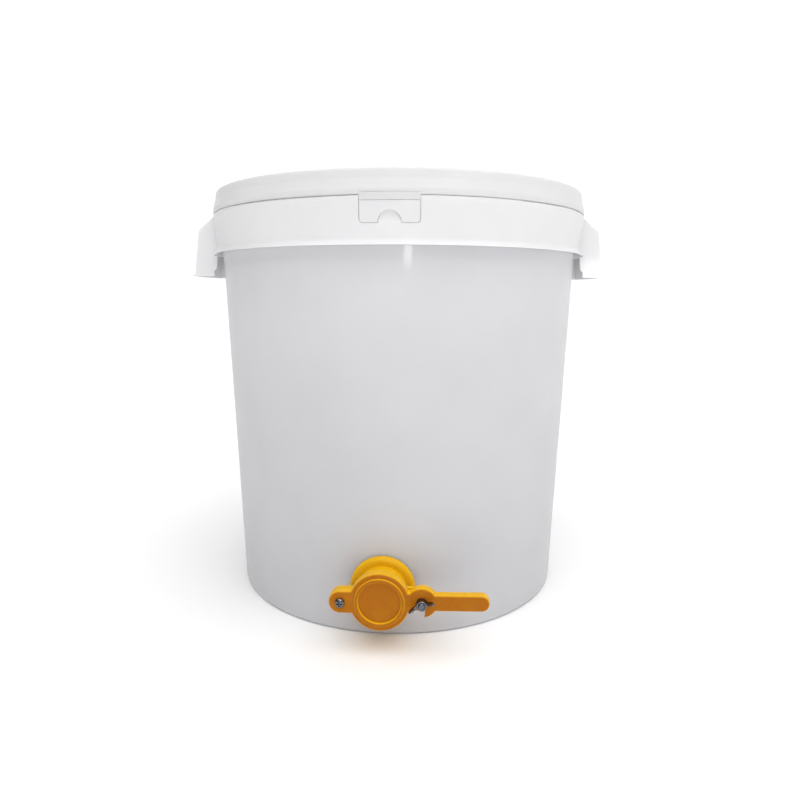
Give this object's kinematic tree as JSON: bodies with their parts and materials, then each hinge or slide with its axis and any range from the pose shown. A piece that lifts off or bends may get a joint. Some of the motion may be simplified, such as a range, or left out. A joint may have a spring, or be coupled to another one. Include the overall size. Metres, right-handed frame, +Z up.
{
  "type": "plastic fermenting bucket",
  "caption": "Round tapered white plastic bucket with a push-fit lid, side handles, a tear tab and a yellow swing-blade gate tap near the foot.",
  "frame": {"origin": "centre of the foot, on the surface that the bucket stands on", "axes": "+Z up along the bucket's axis, -Y out through the tap, +X to the right as seen facing the tap"},
  "size_m": [0.4218, 0.4021, 0.3971],
  "materials": {
    "bucket_plastic": "moulded natural white polypropylene, softly glossy and slightly translucent",
    "lid_plastic": "moulded white polypropylene, satin",
    "tap_plastic": "moulded yellow nylon, satin",
    "seal_rubber": "soft, matt",
    "fastener_steel": "polished stainless steel"
  },
  "bodies": {
    "bucket": {"bucket_body": "bucket_plastic", "bucket_collar": "bucket_plastic", "left_handle": "bucket_plastic", "right_handle": "bucket_plastic", "gate_body": "tap_plastic", "gate_gasket": "seal_rubber", "inner_gasket": "seal_rubber", "gate_nut": "tap_plastic", "face_seal": "seal_rubber", "pivot_bolt": "fastener_steel", "pivot_washer": "fastener_steel", "pivot_spring_washer": "fastener_steel", "pivot_nut": "fastener_steel", "lock_bolt": "fastener_steel"},
    "lid": {"lid": "lid_plastic", "lid_seal": "seal_rubber"},
    "tear_tab": {"tear_tab": "bucket_plastic"},
    "gate_blade": {"gate_blade": "tap_plastic"},
    "lock_washer": {"lock_washer": "fastener_steel"},
    "wing_nut": {"wing_nut": "fastener_steel"}
  },
  "joints": [
    {"name": "lid_lift", "type": "slide", "parent": "bucket", "child": "lid", "axis": [0, 0, 1], "range_m": [0, 0.2]},
    {"name": "tab_hinge", "type": "hinge", "parent": "bucket", "child": "tear_tab", "pos_m": [0.00692, -0.18857, 0.3719], "axis": [-0.9993, -0.0366, 0], "range_deg": [0, 110], "stiffness_Nm_per_rad": 0.002},
    {"name": "gate_swing", "type": "hinge", "parent": "bucket", "child": "gate_blade", "pos_m": [-0.03309, -0.2, 0.04639], "axis": [0, -1, 0], "range_deg": [0, 100]},
    {"name": "wing_nut_travel", "type": "slide", "parent": "bucket", "child": "lock_washer", "axis": [0, -1, 0], "range_m": [0, 0.004]},
    {"name": "wing_nut_turn", "type": "hinge", "parent": "lock_washer", "child": "wing_nut", "pos_m": [0.03539, -0.205, 0.04806], "axis": [0, -1, 0], "range_deg": [0, 1800]}
  ],
  "couplings": [
    {"joint": "wing_nut_travel", "follows": "wing_nut_turn", "m_per_rad": 0.00012732}
  ]
}
